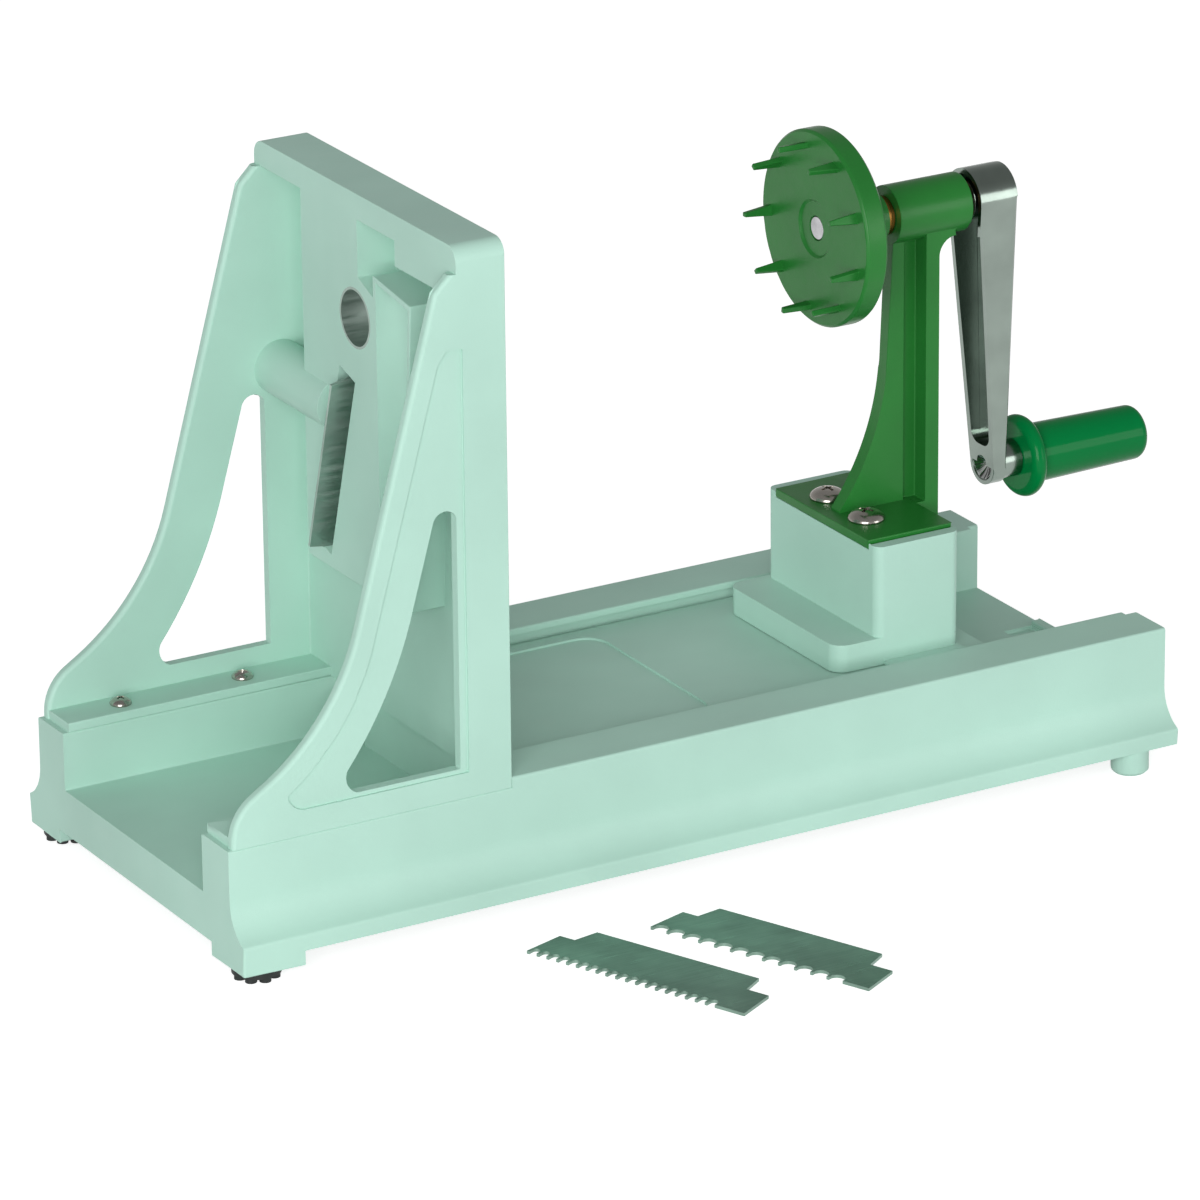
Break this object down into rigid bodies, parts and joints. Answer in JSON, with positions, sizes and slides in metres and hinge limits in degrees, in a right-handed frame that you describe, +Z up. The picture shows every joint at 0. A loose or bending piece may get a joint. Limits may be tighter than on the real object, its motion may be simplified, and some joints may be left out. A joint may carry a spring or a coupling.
{
  "type": "hand cranked spiral vegetable slicer",
  "caption": "Spiral slicer: tray base, blade tower with chute and comb blade, sliding carriage with crank, pronged holder and knob, and loose spare comb blades beside it.",
  "frame": {"origin": "on the table, under the middle of the whole set: machine and spare blades", "axes": "+X along the base from the strand outlet to the crank knob, +Y to the side of the clamp knob, +Z up"},
  "size_m": [0.36, 0.2414, 0.213],
  "materials": {
    "mint_plastic": "satin",
    "green_plastic": "semi gloss",
    "knob_plastic": "gloss",
    "black_plastic": "satin",
    "rubber": "matte",
    "blade_steel": "ground",
    "bright_steel": "bright",
    "cast_chrome": "polished casting",
    "brass": "turned"
  },
  "bodies": {
    "base": {"base_tray": "mint_plastic", "front_foot_near": "rubber", "front_foot_far": "rubber", "foot_screws": "bright_steel", "blade_tower": "mint_plastic", "tower_screws": "bright_steel", "coring_ring": "blade_steel", "slicing_blade": "blade_steel", "slicing_blade_screws": "bright_steel", "clamp_insert": "brass"},
    "comb": {"comb_blade_medium": "blade_steel"},
    "clamp": {"clamp_screw": "bright_steel", "clamp_knob": "black_plastic"},
    "slider": {"carriage": "mint_plastic", "crank_bracket": "green_plastic", "bracket_screws": "bright_steel", "front_bush": "brass", "rear_bush": "brass"},
    "crank": {"crank_shaft": "bright_steel", "food_holder": "green_plastic", "holder_collar": "brass", "crank_arm": "cast_chrome", "knob_axle": "bright_steel"},
    "handle": {"knob": "knob_plastic"},
    "spare_fine": {"spare_comb_fine": "blade_steel"},
    "spare_coarse": {"spare_comb_coarse": "blade_steel"}
  },
  "joints": [
    {"name": "comb_pull", "type": "slide", "parent": "base", "child": "comb", "axis": [1, 0, 0], "range_m": [0, 0.024]},
    {"name": "clamp_turn", "type": "hinge", "parent": "base", "child": "clamp", "pos_m": [-0.096, 0.10835, 0.14], "axis": [0, 1, 0], "range_deg": [0, 720]},
    {"name": "carriage_slide", "type": "slide", "parent": "base", "child": "slider", "axis": [1, 0, 0], "range_m": [-0.131, 0]},
    {"name": "crank_turn", "type": "hinge", "parent": "slider", "child": "crank", "pos_m": [0.1, 0.04585, 0.1735], "axis": [1, 0, 0], "continuous": true},
    {"name": "knob_turn", "type": "hinge", "parent": "crank", "child": "handle", "pos_m": [0.16, 0.04585, 0.0849], "axis": [1, 0, 0], "continuous": true},
    {"name": "spare_fine_lift", "type": "slide", "parent": "base", "child": "spare_fine", "axis": [0, 0, 1], "range_m": [0, 0.15]},
    {"name": "spare_coarse_lift", "type": "slide", "parent": "base", "child": "spare_coarse", "axis": [0, 0, 1], "range_m": [0, 0.15]}
  ]
}
